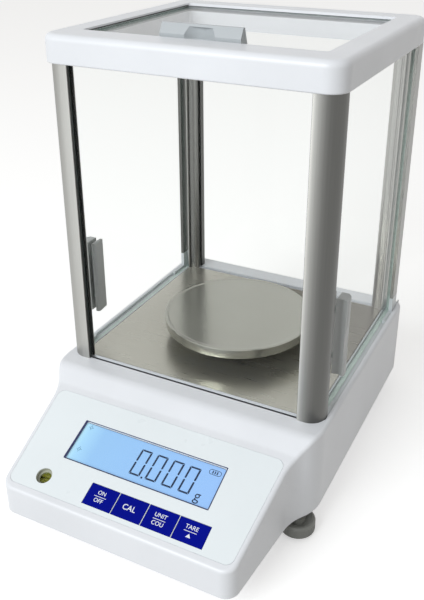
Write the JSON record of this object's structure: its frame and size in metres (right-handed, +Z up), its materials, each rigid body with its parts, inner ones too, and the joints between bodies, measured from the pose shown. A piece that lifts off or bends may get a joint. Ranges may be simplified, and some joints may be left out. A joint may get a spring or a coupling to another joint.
{
  "type": "precision balance with draft shield",
  "caption": "Precision laboratory balance with sloping display console, round steel pan and a tall glass draft shield with sliding side and top doors.",
  "frame": {"origin": "on the table, under the middle of the housing's length and width", "axes": "+Z up, +Y from the keys to the rear wall, +X to the right of someone facing the display"},
  "size_m": [0.2376, 0.337, 0.3665],
  "materials": {
    "housing_plastic": "fine satin, cool white",
    "overlay_film": "satin film",
    "clear_window": "clear, glossy",
    "lcd_glass": "backlit light blue",
    "light_guide": "milky",
    "circuit_board": "solder mask",
    "key_blue": "satin, deep blue",
    "switch_black": "matt",
    "port_metal": "nickel plated",
    "zinc_screw": "zinc plated",
    "cast_base": "die-cast",
    "cell_aluminium": "milled",
    "satin_aluminium": "satin anodised",
    "rail_plastic": "satin, pale grey",
    "stainless_pan": "fine brushed",
    "stainless_floor": "bright rolled",
    "shield_glass": "clear, polished edges",
    "seal_rubber": "matt black",
    "handle_grey": "satin, mid grey",
    "top_handle_grey": "satin, light grey",
    "wheel_plastic": "ridged, dark grey",
    "foot_rubber": "matt",
    "insert_brass": "turned",
    "level_plastic": "satin",
    "level_glass": "clear",
    "level_liquid": "yellow-green liquid",
    "ribbon_grey": "flat cable",
    "battery_case": "matt case"
  },
  "bodies": {
    "base": {"upper_housing": "housing_plastic", "top_frame": "housing_plastic", "console_faceplate": "overlay_film", "display_window": "clear_window", "lcd_panel": "lcd_glass", "display_backlight": "light_guide", "display_board": "circuit_board", "main_board": "circuit_board", "key_switches": "switch_black", "power_socket": "switch_black", "serial_port": "port_metal", "display_board_screws": "zinc_screw", "load_cell_screws": "zinc_screw", "board_standoffs": "zinc_screw", "housing_screws": "zinc_screw", "column_tie_rods": "zinc_screw", "overload_stop": "zinc_screw", "base_plate": "cast_base", "load_cell_base": "cast_base", "load_cell": "cell_aluminium", "pan_carrier": "cell_aluminium", "front_right_column": "satin_aluminium", "front_left_column": "satin_aluminium", "rear_right_column": "satin_aluminium", "rear_left_column": "satin_aluminium", "rear_guide_strips": "satin_aluminium", "right_door_rail": "rail_plastic", "left_door_rail": "rail_plastic", "chamber_floor_plate": "stainless_floor", "front_glass": "shield_glass", "rear_glass": "shield_glass", "front_glass_seals": "seal_rubber", "rear_feet": "foot_rubber", "foot_thread_inserts": "insert_brass", "level_cup": "level_plastic", "level_lens": "level_glass", "level_bubble": "level_glass", "level_fluid": "level_liquid", "display_ribbon_cable": "ribbon_grey", "battery_pack": "battery_case"},
    "right_door": {"right_door_glass": "shield_glass", "right_handle_outer": "handle_grey", "right_handle_inner": "handle_grey"},
    "left_door": {"left_door_glass": "shield_glass", "left_handle_outer": "handle_grey", "left_handle_inner": "handle_grey"},
    "top_door": {"top_door_glass": "shield_glass", "top_door_handle": "top_handle_grey"},
    "power_button": {"power_key": "key_blue"},
    "calibrate_button": {"calibrate_key": "key_blue"},
    "unit_button": {"unit_key": "key_blue"},
    "tare_button": {"tare_key": "key_blue"},
    "pan": {"weighing_pan": "stainless_pan", "pan_hub": "stainless_pan"},
    "left_pad": {"left_foot_pad": "foot_rubber"},
    "left_wheel": {"left_foot_wheel": "wheel_plastic", "left_foot_stem": "zinc_screw"},
    "right_pad": {"right_foot_pad": "foot_rubber"},
    "right_wheel": {"right_foot_wheel": "wheel_plastic", "right_foot_stem": "zinc_screw"}
  },
  "joints": [
    {"name": "right_door_slide", "type": "slide", "parent": "base", "child": "right_door", "axis": [0, 1, 0], "range_m": [0, 0.15]},
    {"name": "left_door_slide", "type": "slide", "parent": "base", "child": "left_door", "axis": [0, 1, 0], "range_m": [0, 0.15]},
    {"name": "top_door_slide", "type": "slide", "parent": "base", "child": "top_door", "axis": [0, 1, 0], "range_m": [0, 0.145]},
    {"name": "pan_lift", "type": "slide", "parent": "base", "child": "pan", "axis": [0, 0, 1], "range_m": [0, 0.03]},
    {"name": "power_press", "type": "slide", "parent": "base", "child": "power_button", "axis": [0, 0.3746, -0.9272], "range_m": [0, 0.0004], "stiffness_N_per_m": 600},
    {"name": "calibrate_press", "type": "slide", "parent": "base", "child": "calibrate_button", "axis": [0, 0.3746, -0.9272], "range_m": [0, 0.0004], "stiffness_N_per_m": 600},
    {"name": "unit_press", "type": "slide", "parent": "base", "child": "unit_button", "axis": [0, 0.3746, -0.9272], "range_m": [0, 0.0004], "stiffness_N_per_m": 600},
    {"name": "tare_press", "type": "slide", "parent": "base", "child": "tare_button", "axis": [0, 0.3746, -0.9272], "range_m": [0, 0.0004], "stiffness_N_per_m": 600},
    {"name": "left_foot_travel", "type": "slide", "parent": "base", "child": "left_pad", "axis": [0, 0, 1], "range_m": [-0.003, 0.003]},
    {"name": "left_wheel_turn", "type": "hinge", "parent": "left_pad", "child": "left_wheel", "pos_m": [-0.1047, -0.0682, 0.0075], "axis": [0, 0, 1], "range_deg": [-1080, 1080]},
    {"name": "right_foot_travel", "type": "slide", "parent": "base", "child": "right_pad", "axis": [0, 0, 1], "range_m": [-0.003, 0.003]},
    {"name": "right_wheel_turn", "type": "hinge", "parent": "right_pad", "child": "right_wheel", "pos_m": [0.1047, -0.0682, 0.0075], "axis": [0, 0, 1], "range_deg": [-1080, 1080]}
  ],
  "couplings": [
    {"joint": "left_wheel_turn", "follows": "left_foot_travel", "rad_per_m": 6283.2},
    {"joint": "right_wheel_turn", "follows": "right_foot_travel", "rad_per_m": 6283.2}
  ]
}
